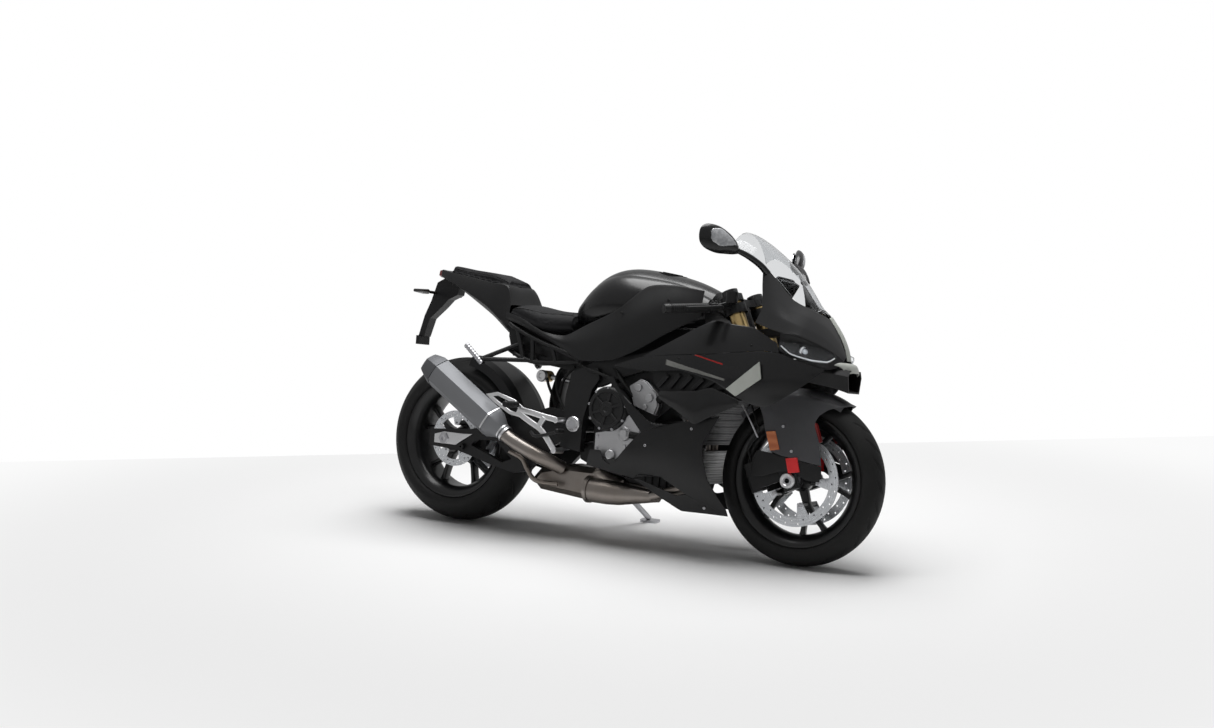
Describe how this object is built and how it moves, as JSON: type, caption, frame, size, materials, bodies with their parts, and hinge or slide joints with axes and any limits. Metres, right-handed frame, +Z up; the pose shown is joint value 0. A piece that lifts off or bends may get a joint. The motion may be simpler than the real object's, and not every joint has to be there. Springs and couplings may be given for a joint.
{
  "type": "sport motorcycle",
  "caption": "Fully faired sport motorcycle leaning on its side stand, with steering, turning wheels, folding stand and hinged fuel cap.",
  "frame": {"origin": "centre of the bounding box on the ground", "axes": "+X forward, +Y to the rider's left, +Z up; the bike leans to its left"},
  "size_m": [2.0828, 0.8292, 1.1908],
  "materials": {
    "tyre": "matte rubber",
    "gloss_black": "gloss black paint",
    "satin_black": "satin black moulding",
    "gloss_panel": "gloss black moulding",
    "black_metal": "satin black powder coat",
    "wheel_black": "semi gloss black",
    "disc_steel": "ground steel",
    "steel": "plain steel",
    "aluminium": "polished alloy",
    "gold": "gold anodised",
    "exhaust": "heat tinted steel",
    "silencer": "satin brushed",
    "seat": "textured black seat cover",
    "screen": "clear screen",
    "lamp": "clear lens",
    "red_lens": "red lens",
    "pale_grey": "pale grey moulding",
    "red_spring": "red coil",
    "core": "black finned core",
    "rubber": "ribbed rubber"
  },
  "bodies": {
    "frame": {"frame_axles": "aluminium", "main_frame": "black_metal", "swingarm": "black_metal", "subframe": "black_metal", "engine_block": "aluminium", "engine_covers": "black_metal", "crankcase_cover": "aluminium", "coolers": "core", "exhaust_pipes": "exhaust", "silencer": "silencer", "silencer_caps": "black_metal", "fuel_tank": "gloss_black", "side_covers": "satin_black", "rider_seat": "seat", "tail_fairing": "gloss_panel", "pillion_seat": "seat", "rear_lamps": "red_lens", "plate_holder": "satin_black", "front_cowl": "gloss_panel", "windscreen": "screen", "headlights": "lamp", "side_fairings": "satin_black", "belly_fairings": "satin_black", "winglets": "pale_grey", "nose_intake": "pale_grey", "mirrors": "gloss_panel", "fairing_stay": "black_metal", "footrests": "aluminium", "rear_hugger": "satin_black", "shock": "red_spring", "chain": "steel", "rear_caliper": "black_metal"},
    "steering": {"fork_clamps": "black_metal", "fork_tubes": "gold", "fork_feet": "black_metal", "front_axle": "steel", "handlebars": "rubber", "front_fender": "satin_black", "front_calipers": "black_metal", "brake_hoses": "rubber"},
    "front_wheel": {"front_tyre": "tyre", "front_rim": "wheel_black", "front_discs": "disc_steel"},
    "rear_wheel": {"rear_tyre": "tyre", "rear_rim": "wheel_black", "rear_disc": "disc_steel"},
    "side_stand": {"side_stand": "steel"},
    "fuel_cap": {"fuel_cap": "aluminium"}
  },
  "joints": [
    {"name": "steering_turn", "type": "hinge", "parent": "frame", "child": "steering", "pos_m": [0.71525, -0.11603, 0.28674], "axis": [-0.4003, 0.1301, 0.9071], "range_deg": [-25, 25]},
    {"name": "front_wheel_spin", "type": "hinge", "parent": "steering", "child": "front_wheel", "pos_m": [0.7415, -0.1144, 0.29809], "axis": [0, 0.9899, -0.1419], "continuous": true},
    {"name": "rear_wheel_spin", "type": "hinge", "parent": "frame", "child": "rear_wheel", "pos_m": [-0.7155, -0.11071, 0.32383], "axis": [0, 0.9899, -0.1419], "continuous": true},
    {"name": "side_stand_fold", "type": "hinge", "parent": "frame", "child": "side_stand", "pos_m": [-0.117, 0.02556, 0.20327], "axis": [0.2279, 0.6827, 0.6943], "range_deg": [0, 101.6]},
    {"name": "fuel_cap_lift", "type": "hinge", "parent": "frame", "child": "fuel_cap", "pos_m": [0.22567, -0.01571, 0.98634], "axis": [0, 0.9899, -0.1419], "range_deg": [0, 100]}
  ]
}
